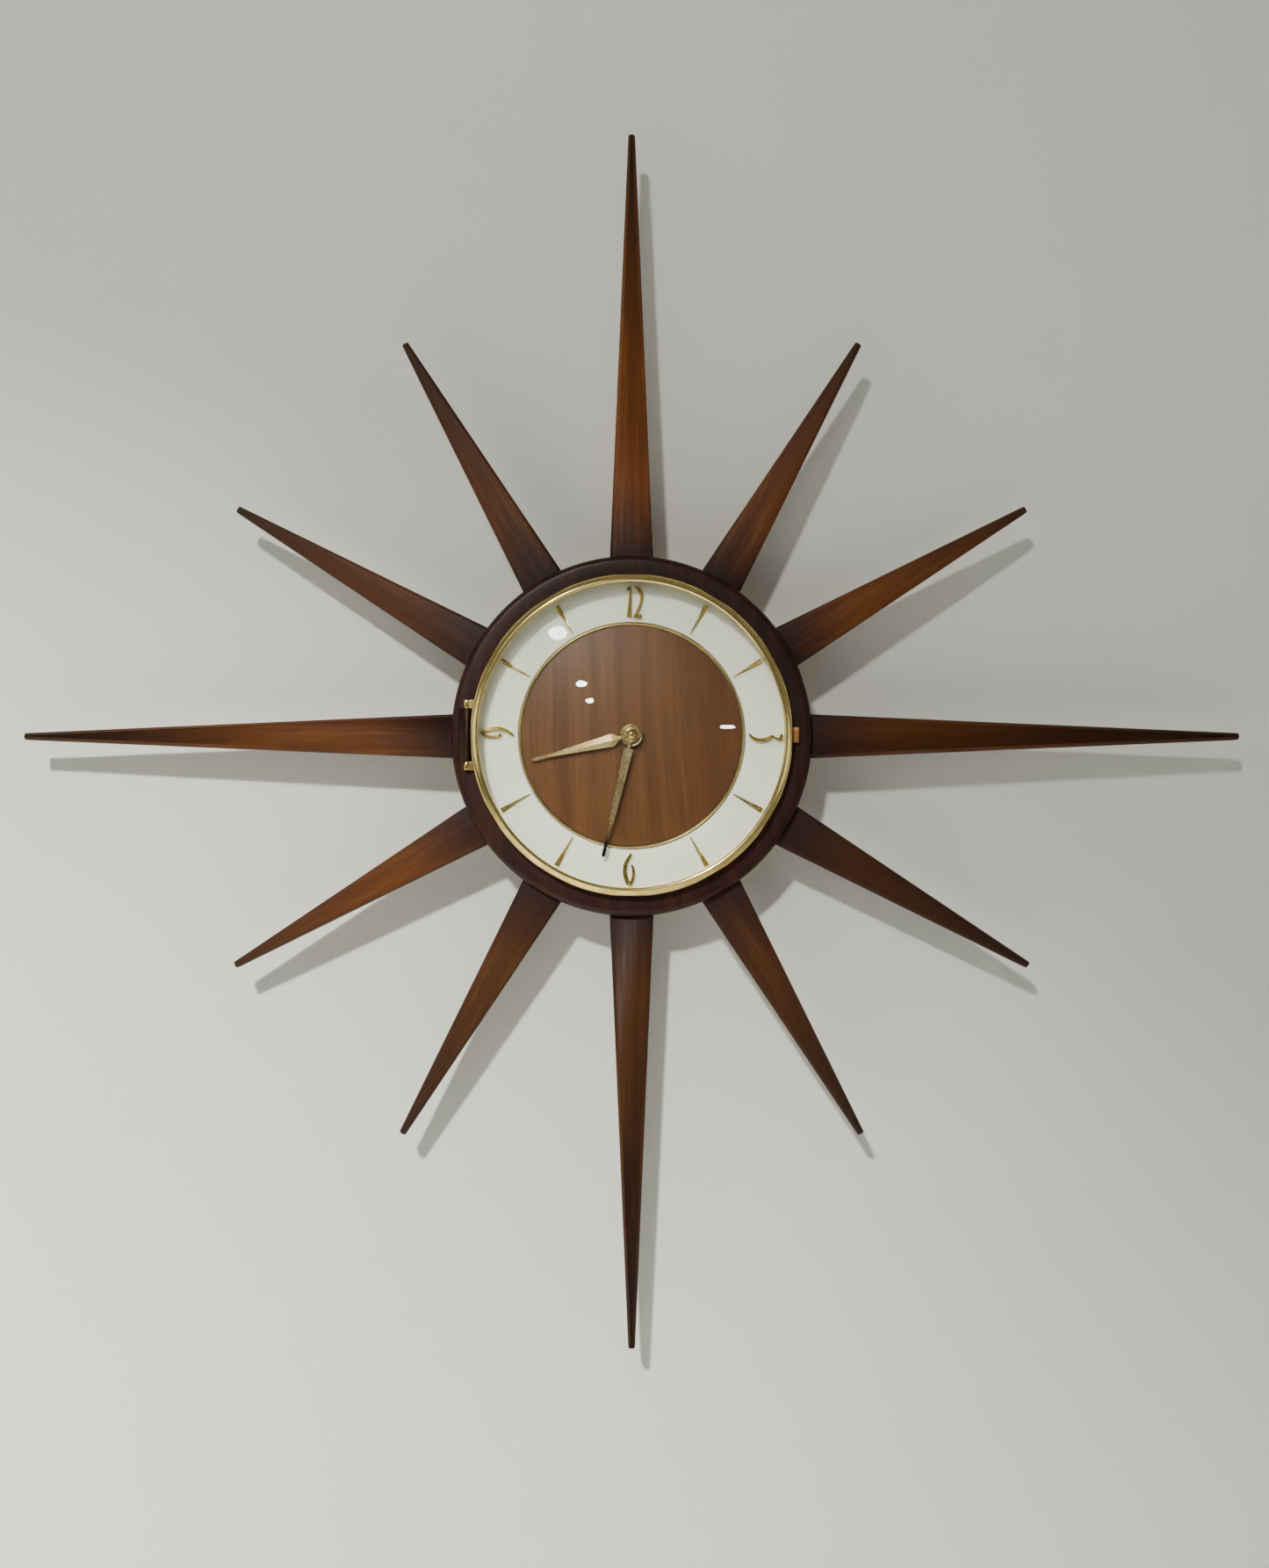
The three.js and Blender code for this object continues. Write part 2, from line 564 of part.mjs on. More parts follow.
const CELL_AXIS = { z: -29.5, rise: 15.25 };
const LID = { half: 27, bottom: -43, top: -17.5 };
const cover = cut(
  plate(roundedRectangle(HOUSING.half, HOUSING.bottom, HOUSING.top, 6), RISE.cover),
  shaft(7.2, [-1, 3], SETTING_ARBOR, 28),
  block([-LID.half, LID.half], [-1, 3], [LID.bottom, LID.top]),
  block([BALANCE_ARBOR[0] - 5, BALANCE_ARBOR[0] + 5], [-1, 3], [31, 35]),
);
add('rear_cover', geometryOf(cover), BLACK_PLASTIC);
add('battery_lid', geometryOf(block(
  [-LID.half + GAP, LID.half - GAP], [0.4, 2], [LID.bottom + GAP, LID.top - GAP],
)), BLACK_PLASTIC);

// A lying round cell with its raised cap at the right.
const cell = new THREE.LatheGeometry([
  [0, -24.5], [12.4, -24.5], [12.9, -24], [12.9, 22], [12.4, 22.6], [3.2, 22.6],
  [3.2, 24.4], [0, 24.4],
].map(([radius, along]) => new THREE.Vector2(radius, along)), 20);
cell.rotateZ(-Math.PI / 2).translate(0, -CELL_AXIS.rise, CELL_AXIS.z);
add('battery_cell', geometryOf(solid(cell)), CELL);

// A cradle with a contact leaf at each end of the cell.
const CRADLE = { half: 26.4, wall: 1.2, floor: [28.4, 28.7], z: [-38, -21] };
function contactLeaf(side) {
  const x = [CRADLE.half - CRADLE.wall, CRADLE.half].map((value) => value * side);
  return block(x.sort((a, b) => a - b), [9, CRADLE.floor[1]], CRADLE.z);
}
const cradleFloor = block([-CRADLE.half, CRADLE.half], CRADLE.floor, CRADLE.z);
const cradle = joined(cradleFloor, contactLeaf(1), contactLeaf(-1));
add('battery_cradle', geometryOf(cradle), STEEL);

// The circuit board carries a transistor can and stands on the back plate.
const board = joined(
  block([8, 28], [8.2, 9.6], [-12.6, -3.6]),
  shaft(2.6, [9.4, 14], [13, -8]),
  block([19, 26], [9.4, 12], [-10.6, -5.6]),
);
add('circuit_board', geometryOf(board), BOARD);

// ---- hanging -------------------------------------------------------------------
const HANGER = { half: 11, bottom: 40.6, top: 66, thickness: 1.4 };
const keyhole = joined(
  shaft(4.4, [-1, 4], [0, 49], 24),
  block([-2.2, 2.2], [-1, 4], [49, 58]),
  shaft(2.2, [-1, 4], [0, 58], 24),
);
const hangerTab = plate(
  roundedRectangle(HANGER.half, HANGER.bottom, HANGER.top, 4), [0, HANGER.thickness],
);
const hangerFoot = block([-HANGER.half, HANGER.half], [0.2, 14], [40.6, 42]);
add('hanger_plate', geometryOf(joined(cut(hangerTab, keyhole), hangerFoot)), STEEL);

export default clock;
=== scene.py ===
import json
import math
import random

import bmesh
import bpy
from mathutils import Matrix, Vector


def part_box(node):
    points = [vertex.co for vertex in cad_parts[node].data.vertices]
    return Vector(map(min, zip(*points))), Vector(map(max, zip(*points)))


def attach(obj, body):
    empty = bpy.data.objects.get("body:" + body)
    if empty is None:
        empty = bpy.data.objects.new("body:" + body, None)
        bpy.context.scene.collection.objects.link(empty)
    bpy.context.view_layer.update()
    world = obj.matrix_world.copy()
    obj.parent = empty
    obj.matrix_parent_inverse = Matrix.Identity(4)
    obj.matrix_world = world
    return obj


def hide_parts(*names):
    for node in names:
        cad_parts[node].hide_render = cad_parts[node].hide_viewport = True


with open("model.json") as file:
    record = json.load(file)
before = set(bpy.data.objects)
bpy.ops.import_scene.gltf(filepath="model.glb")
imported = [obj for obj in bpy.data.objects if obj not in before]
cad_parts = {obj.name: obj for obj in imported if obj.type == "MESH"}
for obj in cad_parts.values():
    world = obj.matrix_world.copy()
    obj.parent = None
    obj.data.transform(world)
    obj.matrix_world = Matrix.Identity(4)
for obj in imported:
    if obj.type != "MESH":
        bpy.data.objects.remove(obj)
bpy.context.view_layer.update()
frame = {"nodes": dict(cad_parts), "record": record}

# Looks of the sunburst wall clock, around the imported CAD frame. Metres. +X right, +Z up,
# the dial faces -Y, the wall plane is y = 0 and the hands' axis is x = z = 0.
# A "rise" is a distance from the wall, so y = -rise. Turns are clockwise from 12 o'clock
# as seen from the front, in degrees.

NODES = frame["nodes"]
MM = 0.001
random.seed(12)

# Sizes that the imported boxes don't give
HINGE_X, HINGE_RISE = -90.6 * MM, 42.4 * MM
BEZEL_FACE = 5.0 * MM  # from the bezel's outside to its sight edge
SEAT_RADIUS = 85.2 * MM  # inside of the bezel's skirt
BORE_RADIUS, LEDGE_RADIUS, LEDGE_RISE = 86.4 * MM, 78.0 * MM, 33.0 * MM
NUMERAL_RADIUS = 74.1 * MM
RAY_SCREWS_RADIUS = 91.5 * MM
LONG_RAY, SHORT_RAY = 340, 255.6
MINUTE_TURN, HOUR_TURN = 193.2, 256.1


def low(node):
    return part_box(node)[0]


def high(node):
    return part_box(node)[1]


def rises(node):
    """(back, front) distance of a node from the wall."""
    return -high(node).y, -low(node).y


RING_RADIUS = high("case_ring").z
DIAL_RADIUS = high("chapter_ring").z
BEZEL_RADIUS = high("bezel_ring").z
BEZEL_SIGHT = BEZEL_RADIUS - BEZEL_FACE
LONG_REACH = high("ray_03").x
SHORT_REACH = LONG_REACH * SHORT_RAY / LONG_RAY


# ---- meshes ---------------------------------------------------------------------
def new_object(name, mesh, material, body, replaces=()):
    """Puts a mesh in the scene as a piece that rides on a body."""
    piece = bpy.data.objects.new(name, mesh)
    bpy.context.collection.objects.link(piece)
    piece.data.materials.append(material)
    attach(piece, body)
    if replaces:
        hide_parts(*replaces)
    return piece


def mesh_of(name, points, faces, has_poles=False):
    """A closed mesh facing out. A body that meets its own axis has empty faces to drop."""
    mesh = bpy.data.meshes.new(name)
    mesh.from_pydata([tuple(p) for p in points], [], faces)
    built = bmesh.new()
    built.from_mesh(mesh)
    bmesh.ops.remove_doubles(built, verts=built.verts, dist=1e-7)
    if has_poles:
        bmesh.ops.dissolve_degenerate(built, dist=1e-8, edges=built.edges)
    bmesh.ops.recalc_face_normals(built, faces=built.faces)
    built.to_mesh(mesh)
    built.free()
    return mesh


def smooth(piece, angle=35):
    piece.data.shade_smooth()
    piece.data.set_sharp_from_angle(angle=math.radians(angle))
    return piece


def round_edges(piece, width, segments=3, angle=32):
    """Small rounded edges, so that corners catch the light."""
    bevel = piece.modifiers.new("edges", "BEVEL")
    bevel.width = width
    bevel.segments = segments
    bevel.limit_method = "ANGLE"
    bevel.angle_limit = math.radians(angle)
    bevel.harden_normals = True
    return piece


def turned_mesh(name, profile, segments=192):
    """A body turned about the hands' axis, from (radius, rise) points."""
    closed = all(radius > 0 for radius, _ in profile)
    points, faces = [], []
    count = len(profile)
    for step in range(segments):
        turn = 2 * math.pi * step / segments
        for radius, rise in profile:
            points.append((radius * math.sin(turn), -rise, radius * math.cos(turn)))
    for step in range(segments):
        here = step * count
        there = ((step + 1) % segments) * count
        for i in range(count if closed else count - 1):
            j = (i + 1) % count
            faces.append((here + i, here + j, there + j, there + i))
    return mesh_of(name, points, faces, has_poles=True)


def arc(centre, radius, start, end, steps=6):
    """Points on an arc in a turned profile, angles in degrees from outward to front."""
    turns = [math.radians(start + (end - start) * i / steps) for i in range(steps + 1)]
    return [(centre[0] + radius * math.cos(t), centre[1] + radius * math.sin(t)) for t in turns]


def loft_mesh(name, rings):
    """A closed, capped skin through rings that all have the same number of points."""
    count = len(rings[0])
    points = [p for ring in rings for p in ring]
    faces = []
    for r in range(len(rings) - 1):
        for i in range(count):
            a, b = r * count + i, r * count + (i + 1) % count
            faces.append((a, b, b + count, a + count))
    faces.append(tuple(range(count)))
    faces.append(tuple(range(len(points) - count, len(points))))
    return mesh_of(name, points, faces)


def clockwise(turn):
    """Rotation about the hands' axis, clockwise from the front."""
    return Matrix.Rotation(math.radians(turn), 4, "Y")


def joined_mesh(name, meshes):
    built = bmesh.new()
    for mesh in meshes:
        built.from_mesh(mesh)
    whole = bpy.data.meshes.new(name)
    built.to_mesh(whole)
    built.free()
    return whole


def cut_mesh(piece, cutter):
    """The piece's mesh with the cutter's mesh taken out of it."""
    tool = bpy.data.objects.new("tool", cutter)
    bpy.context.collection.objects.link(tool)
    cut = piece.modifiers.new("cut", "BOOLEAN")
    cut.operation = "DIFFERENCE"
    cut.solver = "EXACT"
    cut.object = tool
    shape = bpy.data.meshes.new_from_object(
        piece.evaluated_get(bpy.context.evaluated_depsgraph_get()))
    bpy.data.objects.remove(tool)
    return shape


def box_mesh(name, x, rise, z):
    corners = [(a, -b, c) for a in x for b in rise for c in z]
    faces = [(0, 1, 3, 2), (4, 6, 7, 5), (0, 4, 5, 1), (2, 3, 7, 6), (0, 2, 6, 4), (1, 5, 7, 3)]
    return mesh_of(name, corners, faces)


# ---- node helpers ---------------------------------------------------------------
class Nodes:
    """A short way to write a material's node tree."""

    def __init__(self, name):
        self.material = bpy.data.materials.new(name)
        self.material.use_nodes = True
        self.tree = self.material.node_tree
        self.shader = self.tree.nodes["Principled BSDF"]
        self.output = self.tree.nodes["Material Output"]

    def add(self, kind, **values):
        node = self.tree.nodes.new(kind)
        for key, value in values.items():
            setattr(node, key, value)
        return node

    def link(self, source, target):
        self.tree.links.new(source, target)

    def value(self, socket, source):
        if isinstance(source, bpy.types.NodeSocket):
            self.link(source, socket)
        else:
            socket.default_value = source

    def place(self, turn=0.0):
        """Object coordinates turned anticlockwise, so that a ray's length lies along Z."""
        coordinates = self.add("ShaderNodeTexCoord")
        mapping = self.add("ShaderNodeMapping")
        mapping.vector_type = "POINT"
        mapping.inputs["Rotation"].default_value = (0, -math.radians(turn), 0)
        self.link(coordinates.outputs["Object"], mapping.inputs["Vector"])
        return mapping.outputs["Vector"]

    def stretch(self, vector, scale, offset=(0, 0, 0)):
        mapping = self.add("ShaderNodeMapping")
        mapping.inputs["Scale"].default_value = scale
        mapping.inputs["Location"].default_value = offset
        self.link(vector, mapping.inputs["Vector"])
        return mapping.outputs["Vector"]

    def pushed(self, vector, amount, way):
        """The vector moved along `way` by `amount`, so that straight grain runs wavy."""
        node = self.add("ShaderNodeVectorMath", operation="MULTIPLY_ADD")
        self.link(amount, node.inputs[0])
        node.inputs[1].default_value = way
        self.link(vector, node.inputs[2])
        return node.outputs[0]

    def noise(self, vector, detail=4.0, roughness=0.55):
        node = self.add("ShaderNodeTexNoise")
        self.link(vector, node.inputs["Vector"])
        node.inputs["Scale"].default_value = 1.0
        node.inputs["Detail"].default_value = detail
        node.inputs["Roughness"].default_value = roughness
        return node.outputs["Fac"]

    def ramp(self, source, stops):
        node = self.add("ShaderNodeValToRGB")
        self.link(source, node.inputs["Fac"])
        elements = node.color_ramp.elements
        while len(elements) < len(stops):
            elements.new(0.5)
        for element, (position, colour) in zip(elements, stops):
            element.position = position
            shade = (colour,) * 3 if isinstance(colour, (int, float)) else colour
            element.color = (*shade, 1)
        return node.outputs["Color"]

    def math(self, operation, first, second=0.0):
        node = self.add("ShaderNodeMath", operation=operation)
        self.value(node.inputs[0], first)
        self.value(node.inputs[1], second)
        return node.outputs[0]

    def span(self, source, low_in, high_in, low_out=0.0, high_out=1.0):
        node = self.add("ShaderNodeMapRange")
        self.value(node.inputs["Value"], source)
        for key, value in zip(("From Min", "From Max", "To Min", "To Max"),
                              (low_in, high_in, low_out, high_out)):
            node.inputs[key].default_value = value
        return node.outputs["Result"]

    def fade(self, factor, first, second):
        """Mixes two shaders and makes them the material's surface."""
        node = self.add("ShaderNodeMixShader")
        self.link(factor, node.inputs["Fac"])
        self.link(first, node.inputs[1])
        self.link(second, node.inputs[2])
        self.link(node.outputs["Shader"], self.output.inputs["Surface"])

    def mix(self, factor, first, second, blend="MIX"):
        node = self.add("ShaderNodeMix", data_type="RGBA", blend_type=blend)
        self.value(node.inputs["Factor"], factor)
        for socket, source in ((node.inputs[6], first), (node.inputs[7], second)):
            if isinstance(source, tuple):
                socket.default_value = (*source, 1)
            else:
                self.link(source, socket)
        return node.outputs[2]

    def split(self, vector):
        node = self.add("ShaderNodeSeparateXYZ")
        self.link(vector, node.inputs[0])
        return node.outputs

    def bump(self, height, strength, distance):
        node = self.add("ShaderNodeBump")
        node.inputs["Strength"].default_value = strength
        node.inputs["Distance"].default_value = distance
        self.link(height, node.inputs["Height"])
        self.link(node.outputs["Normal"], self.shader.inputs["Normal"])

    def surface(self, **sockets):
        for key, value in sockets.items():
            socket = self.shader.inputs[key.replace("_", " ")]
            if isinstance(value, tuple) and len(value) == 3:
                value = (*value, 1)
            self.value(socket, value)
        return self.material


# ---- wood -----------------------------------------------------------------------
# how orange each ray is, by its hour
WARMTH = {1: 0.80, 2: 0.85, 3: 0.42, 4: 0.62, 5: 0.72, 6: 0.92, 7: 0.90, 8: 0.86, 9: 0.80,
          10: 0.62, 11: 0.52, 12: 0.66}
# how light each ray is, by its hour: no two blanks are alike, and the upper rays are painted
# lighter as a painted sheen from the lamps while the lower rays are painted darker
TONE_AND_SHEEN = {1: 1.40, 2: 1.45, 3: 1.15, 4: 0.52, 5: 0.62, 6: 0.56, 7: 0.62, 8: 1.15, 9: 1.15,
        10: 0.90, 11: 1.05, 12: 1.95}


def ray_wood(hour):
    """Teak with the grain along one ray, stained dark near the hub and at the tip."""
    reach = LONG_REACH if hour % 3 == 0 else SHORT_REACH
    n = Nodes(f"teak_ray_{hour:02d}")
    place = n.place(hour * 30.0)
    shift = (hour * 0.37, hour * 0.11, hour * 0.53)
    along = n.split(place)[2]
    bend = n.noise(n.stretch(place, (20, 20, 7), shift), detail=2)
    wavy = n.pushed(place, bend, (0.012, 0.004, 0.0))
    figure = n.noise(n.stretch(wavy, (230, 230, 6), shift), detail=5, roughness=0.6)
    fibre = n.noise(n.stretch(wavy, (1500, 1500, 28), shift), detail=3, roughness=0.6)
    pores = n.noise(n.stretch(wavy, (2600, 2600, 90), shift), detail=2, roughness=0.7)
    patches = n.noise(n.stretch(place, (30, 30, 9), shift), detail=2)
    dark, mid, light = (0.040, 0.0125, 0.0040), (0.086, 0.0285, 0.0070), (0.175, 0.072, 0.020)
    grain = n.ramp(figure, [(0.32, dark), (0.48, mid), (0.70, light)])
    red = n.mix(n.span(patches, 0.35, 0.65), (0.070, 0.0195, 0.005), (0.140, 0.047, 0.0070))
    colour = n.mix(0.45, grain, red)
    colour = n.mix(n.span(fibre, 0.35, 0.7, 0.0, 0.5), colour, (0.038, 0.0125, 0.004))
    colour = n.mix(n.span(pores, 0.64, 0.76, 0.0, 0.75), colour, (0.009, 0.004, 0.003))
    colour = n.mix(1.0 - WARMTH[hour], colour, (0.044, 0.0145, 0.005))
    # each ray's own tone together with a painted sheen: the upper rays are painted lighter and the
    # lower ones darker
    colour = n.mix(1.0, colour, (TONE_AND_SHEEN[hour], 0.94 * TONE_AND_SHEEN[hour], 0.8 * TONE_AND_SHEEN[hour]), "MULTIPLY")
    # the stain fades out from the hub and comes back towards the tip
    ragged = n.math("MULTIPLY_ADD", figure, 0.03)
    ragged.node.inputs[2].default_value = -0.015
    here = n.math("ADD", along, ragged)
    hub = n.span(here, RING_RADIUS + 4 * MM, RING_RADIUS + 42 * MM, 0.94, 0.0)
    tip = n.span(here, reach * 0.62, reach, 0.0, 0.80)
    colour = n.mix(hub, colour, (0.0190, 0.0060, 0.0042))
    colour = n.mix(tip, colour, (0.019, 0.0082, 0.0045))
    rough = n.span(fibre, 0.3, 0.7, 0.48, 0.64)
    height = n.math("ADD", n.math("MULTIPLY", fibre, 0.6), n.math("MULTIPLY", pores, -0.5))
    n.bump(height, 0.3, 0.0003)
    return n.surface(Base_Color=colour, Roughness=rough, Specular_IOR_Level=0.19)


def ring_wood():
    """Dark stained and lacquered hardwood, turned, with the grain running upright."""
    n = Nodes("dark_wood")
    place = n.place()
    figure = n.noise(n.stretch(place, (170, 170, 9)), detail=5, roughness=0.6)
    fibre = n.noise(n.stretch(place, (1300, 1300, 36)), detail=3)
    patches = n.noise(n.stretch(place, (14, 14, 14)), detail=2)
    colour = n.ramp(figure, [(0.28, (0.0120, 0.0034, 0.0024)), (0.55, (0.0250, 0.0068, 0.0042)),
                             (0.78, (0.044, 0.0130, 0.0068))])
    colour = n.mix(n.span(fibre, 0.5, 0.75, 0, 0.45), colour, (0.007, 0.003, 0.0025))
    colour = n.mix(n.span(patches, 0.4, 0.7, 0, 0.4), colour, (0.020, 0.0052, 0.0048))
    n.bump(n.math("ADD", fibre, figure), 0.14, 0.0003)
    rough = n.span(patches, 0.3, 0.7, 0.36, 0.50)
    return n.surface(Base_Color=colour, Roughness=rough, Specular_IOR_Level=0.19)


def veneer_wood():
    """Walnut veneer with upright grain under a satin lacquer."""
    n = Nodes("veneer")
    place = n.place(-2.0)
    bend = n.noise(n.stretch(place, (16, 16, 5)), detail=2)
    wavy = n.pushed(place, bend, (0.016, 0.0, 0.0))
    figure = n.noise(n.stretch(wavy, (150, 150, 4)), detail=6, roughness=0.62)
    fibre = n.noise(n.stretch(wavy, (1700, 1700, 30)), detail=3, roughness=0.65)
    pores = n.noise(n.stretch(wavy, (3000, 3000, 110)), detail=2, roughness=0.7)
    colour = n.ramp(figure, [(0.30, (0.058, 0.0205, 0.0066)), (0.50, (0.088, 0.035, 0.0110)),
                             (0.72, (0.118, 0.050, 0.0170))])
    colour = n.mix(n.span(fibre, 0.42, 0.72, 0, 0.42), colour, (0.038, 0.014, 0.005))
    colour = n.mix(n.span(pores, 0.62, 0.75, 0, 0.7), colour, (0.018, 0.007, 0.003))
    n.bump(n.math("MULTIPLY", pores, -1.0), 0.12, 0.0002)
    return n.surface(Base_Color=colour, Roughness=0.38, Specular_IOR_Level=0.2)


def plywood():
    """Raw birch plywood: plies show on the rim, straight grain on the faces."""
    n = Nodes("plywood")
    place = n.place()
    depth = n.split(place)[1]
    plies = n.math("FRACT", n.math("MULTIPLY", depth, 1 / (1.14 * MM)))
    layer = n.math("GREATER_THAN", plies, 0.5)
    figure = n.noise(n.stretch(place, (9, 160, 160)), detail=5)
    fibre = n.noise(n.stretch(place, (40, 1200, 1200)), detail=3)
    colour = n.ramp(figure, [(0.3, (0.36, 0.235, 0.125)), (0.7, (0.52, 0.37, 0.215))])
    colour = n.mix(n.span(fibre, 0.45, 0.75, 0, 0.35), colour, (0.24, 0.14, 0.07))
    geometry = n.add("ShaderNodeNewGeometry")
    facing = n.math("ABSOLUTE", n.split(geometry.outputs["Normal"])[1])
    rim = n.math("MULTIPLY", n.math("LESS_THAN", facing, 0.5), n.math("MULTIPLY", layer, 0.55))
    colour = n.mix(rim, colour, (0.20, 0.11, 0.055))
    n.bump(fibre, 0.3, 0.0003)
    return n.surface(Base_Color=colour, Roughness=0.72)


# ---- metals, dial and plastics ----------------------------------------------------
def metal(name, base, dull, roughness, spots=0.25, brushed=None, scale=90.0):
    """A metal with uneven polish. `brushed` stretches the fine scratches along an axis."""
    n = Nodes(name)
    place = n.place()
    clouds = n.noise(n.stretch(place, (scale, scale, scale)), detail=4, roughness=0.6)
    fine = n.noise(n.stretch(place, brushed or (2200, 2200, 2200)), detail=3)
    specks = n.noise(n.stretch(place, (900, 900, 900)), detail=2)
    colour = n.mix(n.span(clouds, 0.42, 0.68, 0, spots), base, dull)
    colour = n.mix(n.span(specks, 0.66, 0.76, 0, spots), colour, tuple(c * 0.35 for c in dull))
    wear = n.math("ADD", n.span(clouds, 0.3, 0.7, roughness, roughness + 0.12),
                  n.span(fine, 0.3, 0.7, -0.03, 0.06))
    n.bump(fine, 0.06 if brushed is None else 0.22, 0.0001)
    return n.surface(Base_Color=colour, Metallic=1.0, Roughness=wear)


def dial_white():
    """Off-white enamel, a little yellowed, with a fine texture and a soft gloss."""
    n = Nodes("dial_white")
    place = n.place()
    clouds = n.noise(n.stretch(place, (26, 26, 26)), detail=4)
    fine = n.noise(n.stretch(place, (1600, 1600, 1600)), detail=3)
    colour = n.mix(n.span(clouds, 0.35, 0.7), (0.74, 0.76, 0.64), (0.80, 0.82, 0.70))
    colour = n.mix(n.span(fine, 0.3, 0.75, 0, 0.06), colour, (0.42, 0.42, 0.36))
    n.bump(fine, 0.05, 0.0001)
    return n.surface(Base_Color=colour, Roughness=0.38, Coat_Weight=0.2, Coat_Roughness=0.15)


def moulded(name, base, roughness=0.5, grain=0.2):
    """Moulded plastic or a printed jacket, a little uneven in tone and gloss."""
    n = Nodes(name)
    place = n.place()
    fine = n.noise(n.stretch(place, (1500, 1500, 1500)), detail=2)
    clouds = n.noise(n.stretch(place, (40, 40, 40)), detail=4)
    lighter = tuple(min(1.0, c * 1.7 + 0.01) for c in base)
    colour = n.mix(n.span(clouds, 0.45, 0.75, 0, 0.5), base, lighter)
    n.bump(fine, grain, 0.0002)
    rough = n.span(clouds, 0.3, 0.7, roughness - 0.06, roughness + 0.1)
    return n.surface(Base_Color=colour, Roughness=rough)


def clear_glass():
    """Clear glass. Light from the lamps passes straight through to the dial."""
    n = Nodes("glass")
    n.surface(Base_Color=(0.97, 0.985, 0.98), Roughness=0.0, Transmission_Weight=1.0, IOR=1.46)
    path = n.add("ShaderNodeLightPath")
    clear = n.add("ShaderNodeBsdfTransparent")
    clear.inputs["Color"].default_value = (0.94, 0.95, 0.945, 1)
    n.fade(path.outputs["Is Shadow Ray"], n.shader.outputs["BSDF"], clear.outputs["BSDF"])
    return n.material


BRASS_BASE, BRASS_DULL = (0.74, 0.565, 0.215), (0.30, 0.21, 0.065)
LOOKS = {
    "dark_wood": ring_wood(),
    "veneer": veneer_wood(),
    "plywood": plywood(),
    "dial_white": dial_white(),
    "polished_brass": metal("polished_brass", BRASS_BASE, BRASS_DULL, 0.11, 0.5),
    "gilt": metal("gilt", (0.60, 0.475, 0.185), (0.24, 0.18, 0.06), 0.16, 0.5),
    "movement_brass": metal("movement_brass", (0.70, 0.52, 0.25), (0.36, 0.25, 0.10), 0.34, 0.4),
    "copper": metal("copper", (0.46, 0.22, 0.085), (0.20, 0.09, 0.035), 0.40, 0.6, scale=400),
    "copper_wire": metal("copper_wire", (0.62, 0.24, 0.10), (0.3, 0.1, 0.04), 0.3, 0.2,
                         brushed=(400, 9000, 400)),
    "steel": metal("steel", (0.52, 0.53, 0.54), (0.30, 0.29, 0.28), 0.3, 0.4,
                   brushed=(200, 3000, 3000)),
    "dark_steel": metal("dark_steel", (0.060, 0.036, 0.026), (0.025, 0.015, 0.011), 0.45, 0.5),
    "black_plastic": moulded("black_plastic", (0.014, 0.014, 0.016), 0.46),
    "circuit_board": moulded("circuit_board", (0.24, 0.12, 0.045), 0.5),
    "battery_jacket": moulded("battery_jacket", (0.05, 0.11, 0.19), 0.3, 0.03),
    "glass": clear_glass(),
}
SLOTS = {row["node"]: row["material_slot"] for row in frame["record"]["subparts"]}


# ---- carried-over CAD nodes ---------------------------------------------------------
def dress(node, width):
    """A CAD node keeps its shape and gets its material and small rounded edges."""
    piece = NODES[node]
    look = ray_wood(int(node[-2:])) if node.startswith("ray_") else LOOKS[SLOTS[node]]
    piece.data.materials.clear()
    piece.data.materials.append(look)
    weld = piece.modifiers.new("weld", "WELD")
    weld.merge_threshold = 1e-6
    for face in piece.data.polygons:
        face.use_smooth = True
    round_edges(piece, width, 2)


for node in NODES:
    dress(node, 0.7 * MM if node.startswith("ray_") else 0.15 * MM)


# ---- case ring --------------------------------------------------------------------
def case_ring():
    """The turned ring with a rounded front edge, and a notch for each ray in its back."""
    back, front = rises("case_ring")
    back_edge, front_edge, lip = 1 * MM, 4 * MM, 0.6 * MM
    profile = [(LEDGE_RADIUS, back), (RING_RADIUS - back_edge, back)]
    profile += arc((RING_RADIUS - back_edge, back + back_edge), back_edge, -90, 0, 4)
    profile += arc((RING_RADIUS - front_edge, front - front_edge), front_edge, 0, 90, 10)
    profile += arc((BORE_RADIUS + lip, front - lip), lip, 90, 180, 4)
    profile += [(BORE_RADIUS, LEDGE_RISE), (LEDGE_RADIUS, LEDGE_RISE)]
    ring = new_object("turned_ring", turned_mesh("turned_ring", profile, 256),
                      LOOKS["dark_wood"], "case", ["case_ring"])
    root, half_root, half_rim = 87.7 * MM, 12.9 * MM, 12.5 * MM
    beyond, notch_front, pocket = 3 * MM, 34.3 * MM, (39.1 * MM, 41 * MM)
    cutters = []
    for hour in range(1, 13):
        rings = []
        for radius, half in ((root, half_root), (RING_RADIUS + beyond, half_rim)):
            rings.append([(-half, beyond - back, radius), (half, beyond - back, radius),
                          (half, -notch_front, radius), (-half, -notch_front, radius)])
        notch = loft_mesh("notch", rings)
        notch.transform(clockwise(hour * 30))
        cutters.append(notch)
    gap, barrel_room = 0.4 * MM, 1.2 * MM
    leaf_x = (low("hinge_leaf").x - gap, HINGE_X + barrel_room)
    leaf_z = (low("hinge_leaf").z - gap, high("hinge_leaf").z + gap)
    cutters.append(box_mesh("pocket", leaf_x, pocket, leaf_z))
    shape = cut_mesh(ring, joined_mesh("notches", cutters))
    ring.modifiers.clear()
    ring.data = shape
    smooth(ring, 28)


case_ring()


